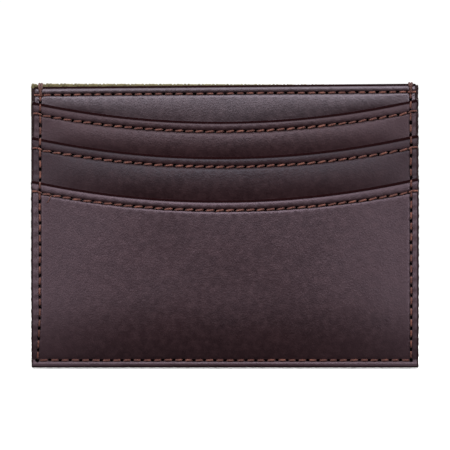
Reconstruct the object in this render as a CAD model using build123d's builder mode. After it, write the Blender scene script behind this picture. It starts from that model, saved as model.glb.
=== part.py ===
from build123d import *
import os
from math import asin, cos, sin, sqrt

# A slim card holder, sewn from leather, woven wool cloth, thin cotton lining and board.
# It stands on its bottom edge: X runs along the width, Y from the front (-Y) to the
# cloth back (+Y), and Z up. The origin is on the ground, under the middle.
# All sizes are in millimetres. A "depth" is measured forwards from the cloth's back face.

# Outline
WIDTH = 102.0  # cloth back panel
PANEL_WIDTH = 101.0  # leather and lining panels, inside the edge coating
COATING = 0.3  # thickness of the edge paint
CLOTH_TOP = 74.6  # folded top edge of the cloth back
LEATHER_TOP = 74.2  # folded top edge of the front leather
COATING_TOP = 73.9
TACK_TOP = 75.0  # thread that loops over the top edge

# Material thicknesses
LEATHER = 0.7
HEM = 0.35  # pared leather turned in behind an edge
LINING = 0.15  # cotton lining, and the tape inside a fold
CLOTH = 1.0
BOARD = 0.5
SLIT = 0.1  # an empty card slot
MAIN_SLIT = 0.15  # the empty main pocket, between its hems

# Folded edges
LIP = 1.0  # solid fold at an edge
LIP_ROUND = 0.5
TAPE_BOTTOM = 5.0  # the tape ends this far below its edge
HEM_BOTTOM = 8.0  # the turned-in leather ends this far below its edge
FIT = 0.05  # clearance between parts laid into a fold
CLOTH_HEM_BOTTOM = 66.0
CLOTH_HEM_WIDTH = 100.8
CLOTH_ROUND = 0.4
BACK_LINING_TOP = 73.0

# Card pockets, upper, middle and lower: the height of the middle of each mouth
POCKETS = ["upper", "middle", "lower"]
MOUTHS = [64.0, 54.7, 43.3]
MOUTH_SAG = 5.6  # how far the middle of a mouth hangs below its ends
FACING_BELOW = 14.0  # a pocket's leather ends this far below the next mouth
POCKET_FLOORS = [19.0, 13.0]  # seams that the cards in the upper and middle pockets stand on

# Where the pocket sheets ease back towards the bottom seam
BEND_TOP = 27.0
BEND_LOW = 6.0
FOOT_GAP = 0.05  # between the sheets at the bottom

# Seams
SEAM_X = 48.7  # side seams
BOTTOM_SEAM = 2.0
TOP_SEAM = 72.0
BACK_SEAM = 72.3
MOUTH_SEAM_DROP = 2.05  # a mouth's seam below the mouth, at the middle
MOUTH_SEAM_SAG = 5.05
STITCHES_ACROSS = 36
CROSSING = 0.65  # a cross seam stops this far either side of a side seam
TACK_BOTTOM = 71.6
LIP_HOLE = 0.5  # a side seam's needle hole stands this far above a mouth
LOWER_STITCHES = 17
MIDDLE_STITCHES = 4
UPPER_STITCHES = 3

# Thread and needle holes
THREAD_WIDTH = 0.45
THREAD_RISE = 0.15  # the front thread stands this far above the leather
THREAD = 0.3
GROOVE_WIDTH = 0.7
GROOVE = 0.2
BACK_GROOVE_WIDTH = 0.8
BACK_GROOVE = 0.4
BACK_THREAD_DEPTH = 0.05  # the back thread lies this far under the cloth's face
HOLE_LENGTH = 0.9
HOLE_WIDTH = 0.5
LEG_START = 0.06  # a stitch's leg stands between these two distances from its hole's middle
LEG_END = 0.40
LEG_SLOPE = 0.30  # the stitch reaches its full height here
SHOULDER = 0.6  # share of the thread's thickness that its ends slope down
FRONT_KNOT = 2.6  # depths where the front and back threads end, face to face
BACK_KNOT = 2.45
ROW_KNOT = 0.1  # a cross seam's thread ends this far inside the turned-in leather
FLOOR_THREAD = 0.2
FLOOR_LIFT = 0.04
TACK_STRANDS = [-0.27, 0.27]
TACK_GROOVE_WIDTH = 1.1

# Depths of the stack
BACK_LINING_AT = CLOTH + BOARD
BASE_HEM_AT = BACK_LINING_AT + LINING + MAIN_SLIT
BASE_LINING_AT = BASE_HEM_AT + HEM
BASE_LEATHER_AT = BASE_LINING_AT + LINING
BASE_FRONT = BASE_LEATHER_AT + LEATHER
FOLD = HEM + LINING + LEATHER
POCKET_STEP = SLIT + FOLD
STACK = BASE_FRONT + len(POCKETS) * POCKET_STEP + THREAD_RISE
BACK_Y = STACK / 2
HALF_PANEL = PANEL_WIDTH / 2
FOOT_LEATHER_AT = BASE_FRONT + len(POCKETS) * (FOOT_GAP + LINING)
FOOT_FRONT = FOOT_LEATHER_AT + LEATHER


def hem_at(pocket):
    """Depth of the back of a pocket's turned-in leather."""
    return BASE_FRONT + pocket * POCKET_STEP + SLIT


def lining_at(pocket):
    return hem_at(pocket) + HEM


def leather_at(pocket):
    return lining_at(pocket) + LINING


def front_at(pocket):
    return leather_at(pocket) + LEATHER


def foot_lining_at(pocket):
    """Depth of a pocket's lining where it reaches the bottom seam."""
    return BASE_FRONT + pocket * (FOOT_GAP + LINING) + FOOT_GAP


def arc_height(x, middle, sag):
    """Height at x of an arc that hangs down to middle, sag below the panel's edges."""
    radius = (HALF_PANEL**2 + sag**2) / (2 * sag)
    return middle + radius - sqrt(radius**2 - x**2)


def mouth_height(pocket, x):
    return arc_height(x, MOUTHS[pocket], MOUTH_SAG)


def eased(z, high, low):
    """Depth at height z of a sheet that eases from high to low through the bend."""
    part = min(max((BEND_TOP - z) / (BEND_TOP - BEND_LOW), 0.0), 1.0)
    return high + (low - high) * part**2 * (3 - 2 * part)


def steps(start, end, count):
    """Evenly spaced values from start to end, both included."""
    return [start + (end - start) * number / count for number in range(count + 1)]


# Needle holes of the side seams, level by level from the bottom, and of the cross seams
LEVEL_TOPS = [mouth_height(pocket, SEAM_X) + LIP_HOLE for pocket in (2, 1, 0)]
LOWER_SIDE = steps(BOTTOM_SEAM, LEVEL_TOPS[0], LOWER_STITCHES)
MIDDLE_SIDE = steps(LEVEL_TOPS[0], LEVEL_TOPS[1], MIDDLE_STITCHES)
UPPER_SIDE = steps(LEVEL_TOPS[1], LEVEL_TOPS[2], UPPER_STITCHES)
TOP_SIDE = [LEVEL_TOPS[2], TACK_BOTTOM]
SIDE_HOLES = LOWER_SIDE + MIDDLE_SIDE[1:] + UPPER_SIDE[1:] + [TACK_BOTTOM]
BOTTOM_ROW = [(x, BOTTOM_SEAM) for x in steps(-SEAM_X, SEAM_X, STITCHES_ACROSS)]


def straight_row(height):
    """Evenly spaced needle holes between the side seams."""
    return [(x, height) for x in steps(CROSSING - SEAM_X, SEAM_X - CROSSING, STITCHES_ACROSS)]


def mouth_row(pocket):
    """Needle holes evenly spaced along the arc of a mouth's seam."""
    radius = (HALF_PANEL**2 + MOUTH_SEAM_SAG**2) / (2 * MOUTH_SEAM_SAG)
    reach = asin((SEAM_X - CROSSING) / radius)
    middle = MOUTHS[pocket] - MOUTH_SEAM_DROP
    turns = steps(-reach, reach, STITCHES_ACROSS)
    return [(radius * sin(turn), middle + radius * (1 - cos(turn))) for turn in turns]


def row_tails(row):
    """The needle holes outside the side seams, level with the ends of a row."""
    outer = SEAM_X + CROSSING
    return [(-outer, row[0][1]), (outer, row[-1][1])]


def front_plane(depth):
    """An upright plane at a depth: X across, Y up, and extruding forwards."""
    return Plane.XZ.offset(depth - BACK_Y)


def flat_sheet(depth, thickness, bottom, top, width=PANEL_WIDTH):
    """Adds a flat upright sheet, in front of a depth."""
    with BuildSketch(front_plane(depth)) as sheet:
        with Locations((0, (bottom + top) / 2)):
            Rectangle(width, top - bottom)
    extrude(sheet.sketch, amount=thickness)


def side_face(bottom, top, high, low):
    """Draws one face of a hanging sheet, seen from the side, and gives its two ends."""
    third = (BEND_TOP - BEND_LOW) / 3
    heights = [BEND_TOP, BEND_TOP - third, BEND_LOW + third, BEND_LOW]
    depths = [high, high, low, low]
    upper = Line((BACK_Y - high, top), (BACK_Y - high, BEND_TOP))
    Bezier(*[(BACK_Y - depth, z) for depth, z in zip(depths, heights)])
    foot = Line((BACK_Y - low, BEND_LOW), (BACK_Y - low, bottom))
    return upper @ 0, foot @ 1


def hanging_profile(bottom, top, high, low, thickness):
    """Side profile of a sheet whose back face eases from depth high to depth low."""
    with BuildLine() as outline:
        back_top, back_foot = side_face(bottom, top, high, low)
        front_top, front_foot = side_face(bottom, top, high + thickness, low + thickness)
        Line(back_top, front_top)
        Line(back_foot, front_foot)
    make_face(outline.line)


def hanging_sheet(bottom, top, high, low, thickness):
    """Adds a sheet as wide as the panel that eases back towards its foot."""
    with BuildSketch(Plane.YZ) as profile:
        hanging_profile(bottom, top, high, low, thickness)
    extrude(profile.sketch, amount=HALF_PANEL, both=True)


def arc_band(middle, sag, above, below):
    """Face between two copies of an arc, one higher than its middle and one lower."""
    with BuildLine() as outline:
        upper, lower = (
            ThreePointArc(
                (-HALF_PANEL, middle + sag + shift),
                (0, middle + shift),
                (HALF_PANEL, middle + sag + shift),
            )
            for shift in (above, -below)
        )
        Line(upper @ 0, lower @ 0)
        Line(upper @ 1, lower @ 1)
    make_face(outline.line)


def trim_above_mouth(pocket, drop):
    """Cuts away all that stands higher than a mouth's arc, lowered by drop."""
    ends = mouth_height(pocket, HALF_PANEL) - drop
    with BuildSketch(front_plane(0)) as waste:
        with BuildLine():
            ThreePointArc((-HALF_PANEL, ends), (0, MOUTHS[pocket] - drop), (HALF_PANEL, ends))
            Polyline(
                (-HALF_PANEL, ends),
                (-HALF_PANEL, TACK_TOP),
                (HALF_PANEL, TACK_TOP),
                (HALF_PANEL, ends),
            )
        make_face()
    extrude(waste.sketch, amount=STACK, mode=Mode.SUBTRACT)


def punch(places, length, width):
    """Needle holes through the whole stack."""
    with BuildSketch(front_plane(0)) as holes:
        with Locations(*places):
            Rectangle(length, width)
    extrude(holes.sketch, amount=STACK, mode=Mode.SUBTRACT)


def punch_side_seams(low, high):
    inside = [z for z in SIDE_HOLES if low < z < high]
    places = [(side * SEAM_X, z) for side in (-1, 1) for z in inside]
    punch(places, HOLE_WIDTH, HOLE_LENGTH)


def punch_bottom_seam():
    punch(BOTTOM_ROW, HOLE_LENGTH, HOLE_WIDTH)


def punch_row(row):
    """Needle holes of a seam that runs across, with one more outside each side seam."""
    punch([*row, *row_tails(row)], HOLE_LENGTH, HOLE_WIDTH)


def groove_sides(depth, bottom, top, width, cut):
    """Straight grooves along both side seams, cut forwards from a depth."""
    middle = (bottom + top) / 2
    with BuildSketch(front_plane(depth)) as grooves:
        with Locations((-SEAM_X, middle), (SEAM_X, middle)):
            Rectangle(width, top - bottom)
    extrude(grooves.sketch, amount=cut, mode=Mode.SUBTRACT)


def groove_across(depth, height, length, width, cut):
    with BuildSketch(front_plane(depth)) as groove:
        with Locations((0, height)):
            Rectangle(length, width)
    extrude(groove.sketch, amount=cut, mode=Mode.SUBTRACT)


def stitch_outline(length, start, end, thread, knot):
    """Outline of one stitch: a bar with a leg at each end that goes in to the knot's depth.

    start and end are the outer depths of the bar's two ends.
    """
    Polygon(
        (LEG_START, knot),
        (LEG_START, start - thread * SHOULDER),
        (LEG_SLOPE, start),
        (length - LEG_SLOPE, end),
        (length - LEG_START, end - thread * SHOULDER),
        (length - LEG_START, knot),
        (length - LEG_END, knot),
        (length - LEG_END, end - thread),
        (LEG_END, start - thread),
        (LEG_END, knot),
    )


def tail_outline(length, outer, thread, knot):
    """Outline of a row's last stitch: one leg, and a bar that ends at the panel's edge."""
    Polygon(
        (LEG_START, knot),
        (LEG_START, outer - thread * SHOULDER),
        (LEG_SLOPE, outer),
        (length, outer),
        (length, outer - thread),
        (LEG_END, outer - thread),
        (LEG_END, knot),
    )


def seam_plane(start, end):
    """Plane along one edge of the thread: local X is along the seam and local Y the depth."""
    along = Vector(end[0] - start[0], 0, end[1] - start[1])
    forwards = Vector(0, -1, 0)
    origin = (start[0], BACK_Y, start[1])
    middle = Plane(origin=origin, x_dir=along, z_dir=along.cross(forwards))
    return middle.offset(-THREAD_WIDTH / 2)


def sew(pairs, start, end, thread, knot):
    """Adds equal stitches between pairs of holes, start and end deep at their two ends."""
    length = (Vector(*pairs[0][1]) - Vector(*pairs[0][0])).length
    with BuildSketch(*[seam_plane(*pair) for pair in pairs]) as stitches:
        stitch_outline(length, start, end, thread, knot)
    extrude(stitches.sketch, amount=THREAD_WIDTH)


def sew_line(holes, outer, thread, knot):
    """Adds a stitch from each of several evenly spaced holes to the next."""
    sew(list(zip(holes, holes[1:])), outer, outer, thread, knot)


def sew_sides(heights, depth_of, thread, knot):
    """Adds the stitches of both side seams; depth_of(z) is their outer depth."""
    for low, high in zip(heights, heights[1:]):
        pairs = [((side * SEAM_X, low), (side * SEAM_X, high)) for side in (-1, 1)]
        sew(pairs, depth_of(low), depth_of(high), thread, knot)


def sew_row(row, outer, thread, knot):
    """Adds a seam that runs across, with a short last stitch outside each side seam."""
    sew_line(row, outer, thread, knot)
    for x, z in row_tails(row):
        edge = (HALF_PANEL if x > 0 else -HALF_PANEL, z)
        with BuildSketch(seam_plane((x, z), edge)) as tail:
            tail_outline(HALF_PANEL - abs(x), outer, thread, knot)
        extrude(tail.sketch, amount=THREAD_WIDTH)


def save(node, label):
    node.label = label
    export_step(node, f"parts/{label}.step")


os.makedirs("parts", exist_ok=True)

# Back panel: thick woven wool cloth, its top edge folded in over the board
with BuildPart() as back_panel:
    flat_sheet(0, CLOTH, 0, CLOTH_TOP, WIDTH)
    flat_sheet(CLOTH, BOARD, CLOTH_HEM_BOTTOM, CLOTH_TOP, CLOTH_HEM_WIDTH)
    top_edges = back_panel.edges().filter_by(Axis.X).group_by(Axis.Z)[-1]
    fillet(top_edges.sort_by(Axis.Y)[0], CLOTH_ROUND)
    groove_sides(0, BOTTOM_SEAM, TACK_BOTTOM, BACK_GROOVE_WIDTH, BACK_GROOVE)
    groove_sides(0, TACK_BOTTOM, CLOTH_TOP, TACK_GROOVE_WIDTH, BACK_GROOVE)
    groove_across(0, BOTTOM_SEAM, 2 * SEAM_X + BACK_GROOVE_WIDTH, BACK_GROOVE_WIDTH, BACK_GROOVE)
    groove_across(0, BACK_SEAM, WIDTH, BACK_GROOVE_WIDTH, BACK_GROOVE)
    punch_side_seams(0, CLOTH_TOP)
    punch_bottom_seam()
    punch_row(straight_row(BACK_SEAM))
save(back_panel.part, "back_panel_cloth")

# Board that keeps the back flat
with BuildPart() as board:
    flat_sheet(CLOTH, BOARD, COATING, CLOTH_HEM_BOTTOM - FIT)
    punch_side_seams(0, CLOTH_HEM_BOTTOM)
    punch_bottom_seam()
save(board.part, "back_stiffener_board")

# Main pocket: its two linings, sewn to the back's hem and folded into the front leather
with BuildPart() as back_lining:
    flat_sheet(BACK_LINING_AT, LINING, COATING, BACK_LINING_TOP)
    punch_side_seams(0, BACK_LINING_TOP)
    punch_bottom_seam()
    punch_row(straight_row(BACK_SEAM))
save(back_lining.part, "main_pocket_back_lining")

with BuildPart() as front_lining:
    flat_sheet(BASE_LINING_AT, LINING, COATING, LEATHER_TOP - TAPE_BOTTOM - FIT)
    punch_side_seams(0, LEATHER_TOP - TAPE_BOTTOM)
    punch_bottom_seam()
save(front_lining.part, "main_pocket_front_lining")

with BuildPart() as base_tape:
    flat_sheet(BASE_LINING_AT, LINING, LEATHER_TOP - TAPE_BOTTOM, LEATHER_TOP - LIP - FIT)
    punch_side_seams(LEATHER_TOP - TAPE_BOTTOM, LEATHER_TOP)
    punch_row(straight_row(TOP_SEAM))
save(base_tape.part, "top_edge_tape")

# Front leather that all the card pockets are built on, its top edge folded in
with BuildPart() as base_leather:
    flat_sheet(BASE_LEATHER_AT, LEATHER, COATING, LEATHER_TOP)
    flat_sheet(BASE_HEM_AT, HEM + LINING, LEATHER_TOP - LIP, LEATHER_TOP)
    flat_sheet(BASE_HEM_AT, HEM, LEATHER_TOP - HEM_BOTTOM, LEATHER_TOP)
    fillet(base_leather.edges().filter_by(Axis.X).group_by(Axis.Z)[-1], LIP_ROUND)
    front_groove = BASE_FRONT - GROOVE
    groove_sides(front_groove, MOUTHS[0], TACK_BOTTOM, GROOVE_WIDTH, GROOVE)
    groove_sides(front_groove, TACK_BOTTOM, LEATHER_TOP, TACK_GROOVE_WIDTH, GROOVE)
    groove_across(front_groove, TOP_SEAM, PANEL_WIDTH, GROOVE_WIDTH, GROOVE)
    punch_side_seams(0, LEATHER_TOP)
    punch_bottom_seam()
    punch_row(straight_row(TOP_SEAM))
    for floor in POCKET_FLOORS:
        punch(straight_row(floor), HOLE_LENGTH, HOLE_WIDTH)
save(base_leather.part, "front_base_leather")

# Leather of the card pockets: each mouth is folded in over a tape and sewn along.
# The upper two are short facings; the lower one eases back to the bottom seam.
for pocket, name in enumerate(POCKETS):
    is_lower = name == "lower"
    ends = mouth_height(pocket, HALF_PANEL)
    bottom = COATING if is_lower else MOUTHS[pocket + 1] - FACING_BELOW
    with BuildPart() as pocket_leather:
        if is_lower:
            hanging_sheet(bottom, ends, leather_at(pocket), FOOT_LEATHER_AT, LEATHER)
        else:
            flat_sheet(leather_at(pocket), LEATHER, bottom, ends)
        with BuildSketch(front_plane(hem_at(pocket))):
            arc_band(MOUTHS[pocket], MOUTH_SAG, 0, LIP)
        extrude(amount=HEM + LINING)
        with BuildSketch(front_plane(hem_at(pocket))):
            arc_band(MOUTHS[pocket], MOUTH_SAG, 0, HEM_BOTTOM)
        extrude(amount=HEM)
        trim_above_mouth(pocket, 0)
        lip_edges = pocket_leather.edges().filter_by(GeomType.CIRCLE).group_by(Axis.Z)[-1]
        fillet(lip_edges, LIP_ROUND)
        with BuildSketch(front_plane(front_at(pocket) - GROOVE)):
            middle = MOUTHS[pocket] - MOUTH_SEAM_DROP
            arc_band(middle, MOUTH_SEAM_SAG, GROOVE_WIDTH / 2, GROOVE_WIDTH / 2)
        extrude(amount=GROOVE, mode=Mode.SUBTRACT)
        if is_lower:
            for side in (-1, 1):
                with BuildSketch(Plane.YZ.offset(side * SEAM_X)):
                    depths = (front_at(pocket) - GROOVE, FOOT_FRONT - GROOVE)
                    hanging_profile(BOTTOM_SEAM, ends, *depths, GROOVE)
            extrude(amount=GROOVE_WIDTH / 2, both=True, mode=Mode.SUBTRACT)
            groove_length = 2 * SEAM_X + GROOVE_WIDTH
            groove_across(FOOT_FRONT - GROOVE, BOTTOM_SEAM, groove_length, GROOVE_WIDTH, GROOVE)
            punch_bottom_seam()
        else:
            groove_sides(front_at(pocket) - GROOVE, bottom, ends, GROOVE_WIDTH, GROOVE)
        punch_side_seams(bottom, ends)
        punch_row(mouth_row(pocket))
    save(pocket_leather.part, f"{name}_pocket_leather")

# Tape inside each folded mouth, and the lining that hangs from it to the bottom seam
for pocket, name in enumerate(POCKETS):
    with BuildPart() as mouth_tape:
        with BuildSketch(front_plane(lining_at(pocket))):
            arc_band(MOUTHS[pocket], MOUTH_SAG, -LIP - FIT, TAPE_BOTTOM)
        extrude(amount=LINING)
        punch_side_seams(MOUTHS[pocket] - TAPE_BOTTOM, mouth_height(pocket, HALF_PANEL))
        punch_row(mouth_row(pocket))
    save(mouth_tape.part, f"{name}_mouth_tape")

    lining_top = mouth_height(pocket, HALF_PANEL) - TAPE_BOTTOM - FIT
    with BuildPart() as pocket_lining:
        hanging_sheet(COATING, lining_top, lining_at(pocket), foot_lining_at(pocket), LINING)
        trim_above_mouth(pocket, TAPE_BOTTOM + FIT)
        punch_side_seams(0, lining_top)
        punch_bottom_seam()
        for floor in POCKET_FLOORS[pocket:]:
            punch(straight_row(floor), HOLE_LENGTH, HOLE_WIDTH)
    save(pocket_lining.part, f"{name}_pocket_lining")

# Edge paint along both sides and the bottom, over the stacked cut edges
for side, name in ((-1, "left"), (1, "right")):
    edge_x = side * (HALF_PANEL + COATING / 2)
    with BuildPart() as side_coating:
        with BuildSketch(Plane.YZ.offset(edge_x)):
            levels = [(CLOTH, BASE_FRONT, COATING_TOP)]
            for pocket in (0, 1):
                top = mouth_height(pocket, HALF_PANEL)
                levels.append((CLOTH, front_at(pocket), top))
            for back, front, top in levels:
                with BuildLine():
                    Polyline(
                        (BACK_Y - back, BEND_TOP),
                        (BACK_Y - back, top),
                        (BACK_Y - front, top),
                        (BACK_Y - front, BEND_TOP),
                        close=True,
                    )
                make_face()
            lower_top = mouth_height(2, HALF_PANEL)
            with BuildLine():
                front_top, front_foot = side_face(COATING, lower_top, front_at(2), FOOT_FRONT)
                Polyline(
                    front_top,
                    (BACK_Y - CLOTH, lower_top),
                    (BACK_Y - CLOTH, COATING),
                    front_foot,
                )
            make_face()
        extrude(amount=COATING / 2, both=True)
    save(side_coating.part, f"{name}_edge_coating")

with BuildPart() as bottom_coating:
    flat_sheet(CLOTH, FOOT_FRONT - CLOTH, 0, COATING, PANEL_WIDTH + 2 * COATING)
save(bottom_coating.part, "bottom_edge_coating")

# Seam along the front's folded top edge
with BuildPart() as top_thread:
    top_row = straight_row(TOP_SEAM)
    sew_row(top_row, BASE_FRONT + THREAD_RISE, THREAD, BASE_HEM_AT + ROW_KNOT)
save(top_thread.part, "top_seam_thread")

# Seam along each mouth
for pocket, name in enumerate(POCKETS):
    with BuildPart() as mouth_thread:
        outer = front_at(pocket) + THREAD_RISE
        sew_row(mouth_row(pocket), outer, THREAD, hem_at(pocket) + ROW_KNOT)
    save(mouth_thread.part, f"{name}_mouth_thread")

# Seam round both sides and the bottom: the front thread and the back thread
with BuildPart() as front_thread:
    lower_outer = front_at(2) + THREAD_RISE
    foot_outer = FOOT_FRONT + THREAD_RISE
    sew_line(BOTTOM_ROW, foot_outer, THREAD, FRONT_KNOT)
    sew_sides(LOWER_SIDE, lambda z: eased(z, lower_outer, foot_outer), THREAD, FRONT_KNOT)
    for heights, front in (
        (MIDDLE_SIDE, front_at(1)),
        (UPPER_SIDE, front_at(0)),
        (TOP_SIDE, BASE_FRONT),
    ):
        sew_sides(heights, lambda z: front + THREAD_RISE, THREAD, FRONT_KNOT)
save(front_thread.part, "perimeter_front_thread")

with BuildPart() as back_thread:
    sew_line(BOTTOM_ROW, BACK_THREAD_DEPTH, -THREAD, BACK_KNOT)
    sew_sides(SIDE_HOLES, lambda z: BACK_THREAD_DEPTH, -THREAD, BACK_KNOT)
save(back_thread.part, "perimeter_back_thread")

# Seam along the back's folded top edge
with BuildPart() as back_top_thread:
    back_row = straight_row(BACK_SEAM)
    sew_row(back_row, BACK_THREAD_DEPTH, -THREAD, BACK_LINING_AT + ROW_KNOT)
save(back_top_thread.part, "back_top_seam_thread")

# Floors of the upper and middle pockets: their linings are sewn to the base leather
for pocket, floor in enumerate(POCKET_FLOORS):
    with BuildPart() as floor_thread:
        face = eased(floor, lining_at(pocket), foot_lining_at(pocket)) + LINING
        outer = face + FLOOR_LIFT + FLOOR_THREAD
        sew_line(straight_row(floor), outer, FLOOR_THREAD, FRONT_KNOT)
    save(floor_thread.part, f"{POCKETS[pocket]}_pocket_floor_thread")

# Tacks: two strands at each corner of the main pocket's mouth, looped over the top
for side, name in ((-1, "left"), (1, "right")):
    with BuildPart() as tack:
        for shift in TACK_STRANDS:
            with BuildSketch(Plane.YZ.offset(side * SEAM_X + shift)):
                front = BASE_FRONT + THREAD_RISE
                inner_top = CLOTH_TOP + FIT
                Polygon(
                    (BACK_Y - front, TACK_BOTTOM),
                    (BACK_Y - front, LEATHER_TOP + THREAD_RISE),
                    (BACK_Y - BASE_LEATHER_AT, CLOTH_TOP),
                    (BACK_Y - BACK_LINING_AT, TACK_TOP),
                    (BACK_Y - THREAD, TACK_TOP),
                    (BACK_Y - BACK_THREAD_DEPTH, CLOTH_TOP),
                    (BACK_Y - BACK_THREAD_DEPTH, TACK_BOTTOM),
                    (BACK_Y - BACK_THREAD_DEPTH - THREAD, TACK_BOTTOM),
                    (BACK_Y - BACK_THREAD_DEPTH - THREAD, inner_top),
                    (BACK_Y - BACK_LINING_AT - FIT, inner_top),
                    (BACK_Y - BASE_HEM_AT, LEATHER_TOP + FIT),
                    (BACK_Y - front + THREAD, LEATHER_TOP + FIT),
                    (BACK_Y - front + THREAD, TACK_BOTTOM),
                )
        extrude(amount=THREAD_WIDTH / 2, both=True)
    save(tack.part, f"{name}_corner_tack")
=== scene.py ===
from math import pi

import bpy
import numpy as np
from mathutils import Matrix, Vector


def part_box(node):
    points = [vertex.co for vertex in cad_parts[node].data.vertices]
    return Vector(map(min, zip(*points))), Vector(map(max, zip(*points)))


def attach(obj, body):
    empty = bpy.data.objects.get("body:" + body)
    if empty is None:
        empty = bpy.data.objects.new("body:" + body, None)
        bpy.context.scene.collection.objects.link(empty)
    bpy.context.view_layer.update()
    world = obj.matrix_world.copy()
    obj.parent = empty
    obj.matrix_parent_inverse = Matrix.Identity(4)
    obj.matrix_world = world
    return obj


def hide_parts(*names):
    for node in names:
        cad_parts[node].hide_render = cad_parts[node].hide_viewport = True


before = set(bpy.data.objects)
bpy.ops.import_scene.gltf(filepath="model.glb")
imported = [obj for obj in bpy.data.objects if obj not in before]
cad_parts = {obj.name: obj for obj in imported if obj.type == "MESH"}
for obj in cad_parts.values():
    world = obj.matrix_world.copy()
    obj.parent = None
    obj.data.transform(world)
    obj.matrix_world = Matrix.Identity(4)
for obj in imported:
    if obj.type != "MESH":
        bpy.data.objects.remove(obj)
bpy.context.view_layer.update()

# A slim sewn card holder. Shapes are worked out in millimetres and stored in metres.
# X runs along the width, Y from the front (-Y) to the cloth back, Z up from the ground.
MM = 0.001
rng = np.random.default_rng(7)


def corners(node):
    """Lowest and highest corner of a CAD node, in millimetres."""
    low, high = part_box(node)
    return np.array(low) / MM, np.array(high) / MM


POCKETS = ["upper", "middle", "lower"]
SIDES = {-1: "left", 1: "right"}
THREAD_HALF = 0.225  # half the width of the CAD's stitches
BASE_LOW, BASE_HIGH = corners("front_base_leather")
CLOTH_LOW, CLOTH_HIGH = corners("back_panel_cloth")
TACK_HIGH = corners("left_corner_tack")[1]
THREAD_LOW, THREAD_HIGH = corners("perimeter_front_thread")
FOOT_FRONT = corners("bottom_edge_coating")[0][1]
BACK_SEAM = corners("back_top_seam_thread")[0][2] + THREAD_HALF
PANEL_HALF = BASE_HIGH[0]
EDGE_HALF = corners("right_edge_coating")[1][0]

# Seams
SEAM_X = THREAD_HIGH[0] - THREAD_HALF
BOTTOM_SEAM = THREAD_LOW[2] + THREAD_HALF
TOP_SEAM_DROP = 2.2  # the top seam below the top edge
MOUTH_SAG = 5.6  # how far the middle of a mouth hangs below its ends
SEAM_SAG = 5.05  # the same for a mouth's seam
SEAM_DROP = 2.05  # a mouth's seam below the CAD's mouth, at the middle
LIP_RISE = 0.55  # how far a mouth stands above the CAD's mouth
STITCHES = 36  # in a seam across
PITCH = 2 * SEAM_X / STITCHES
CROSSING = 0.65  # a seam across stops this far inside the side seams
LEFT_SEAM_IN = 0.25  # the left-hand side seam is this far inside its place in the CAD
WANDER_TOP, WANDER_HEIGHT, WANDER_OUT = 16, 14, 0.75  # where and how far it strays outwards
HOLE_STRAY_ALONG, HOLE_STRAY_ACROSS = 0.13, 0.06
SIDE_STRAY_ALONG, SIDE_STRAY_ACROSS = 0.14, 0.08

# Leather
THICK = 0.7
FOLD = 1.2  # thickness of a folded edge
HEM = 0.35  # thickness of the skived leather turned in at a fold
HEM_LENGTH = 8.0
HEM_TOP = 1.6  # the back of a fold is straight from this far below the lip
CHANNEL_TOP = 1.0  # the inside of a fold starts this far below the lip
ROLL = FOLD / 2
ROLL_PLACES = 12  # points round a rolled edge, the front's last one included
COLUMN = 0.25  # width of a column of faces
EASE_TOP = 20.5  # the lower panel starts to curve back here
EASE_SPAN = EASE_TOP - BOTTOM_SEAM - 0.5  # and has curved back half a millimetre over the seam
EASE_POWER = 2.8

# Relief of a leather panel's front
MARGIN_DOME = 0.17  # between a seam and the edge beside it
MOUTH_HOLLOW, MOUTH_HOLLOW_WIDTH = 0.24, 0.42  # leather pulled in by a seam
SIDE_HOLLOW, SIDE_HOLLOW_WIDTH = 0.26, 0.5
BOTTOM_HOLLOW, BOTTOM_HOLLOW_WIDTH = 0.24, 0.5
SIDE_SLOPE = 0.10  # outside a side seam
PUCKER = 0.042  # between stitches
HOLE_DEPTH = 0.46
END_DROP, END_REACH = 0.32, 0.5  # the rounding of a panel's ends
EAR, EAR_REACH, EAR_HEIGHT = 0.32, 1.4, 0.8  # a mouth's ends stick out at the sides
DYED_SIDE, DYED_FOOT = 0.16, 0.2  # how far the dye reaches in from a cut edge
DYED_LIMIT, HOLE_LIMIT = 0.6, 0.4  # attribute values over which a face gets the darker material


def arc(x, middle, sag):
    """Height of an arc that hangs sag below the panel's edges."""
    radius = (PANEL_HALF**2 + sag**2) / (2 * sag)
    return middle + radius - np.sqrt(radius**2 - x**2)


def tilted(curve, lift):
    """A curve that climbs by lift from the middle to the right-hand edge."""
    return lambda x: curve(x) + lift * x / PANEL_HALF


# -------------------- meshes


def make_piece(name, vertices, faces, material, flat_faces=(), values=None, areas=()):
    """Makes an object from millimetre vertices.

    values are point attributes, and areas are more materials, each with its faces' numbers.
    """
    mesh = bpy.data.meshes.new(name)
    mesh.from_pydata((np.asarray(vertices) * MM).tolist(), [], faces)
    smooth = np.ones(len(mesh.polygons), dtype=bool)
    smooth[list(flat_faces)] = False
    mesh.polygons.foreach_set("use_smooth", smooth)
    for key, numbers in (values or {}).items():
        attribute = mesh.attributes.new(key, "FLOAT", "POINT")
        attribute.data.foreach_set("value", np.asarray(numbers, dtype=np.float32).ravel())
    mesh.materials.append(material)
    for number, (area_material, numbers) in enumerate(areas, start=1):
        mesh.materials.append(area_material)
        for face in numbers:
            mesh.polygons[face].material_index = number
    mesh.update()
    piece = bpy.data.objects.new(name, mesh)
    bpy.context.scene.collection.objects.link(piece)
    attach(piece, "root")
    return piece


def loft_faces(columns, ring):
    """Quads between neighbouring rings, and the two end caps."""
    column, place = np.meshgrid(np.arange(columns - 1), np.arange(ring), indexing="ij")
    onward = (place + 1) % ring
    quads = np.stack(
        [
            column * ring + place,
            (column + 1) * ring + place,
            (column + 1) * ring + onward,
            column * ring + onward,
        ],
        axis=-1,
    ).reshape(-1, 4)
    first = list(range(ring))
    last = [(columns - 1) * ring + place for place in reversed(range(ring))]
    return quads.tolist() + [first, last]


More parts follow.
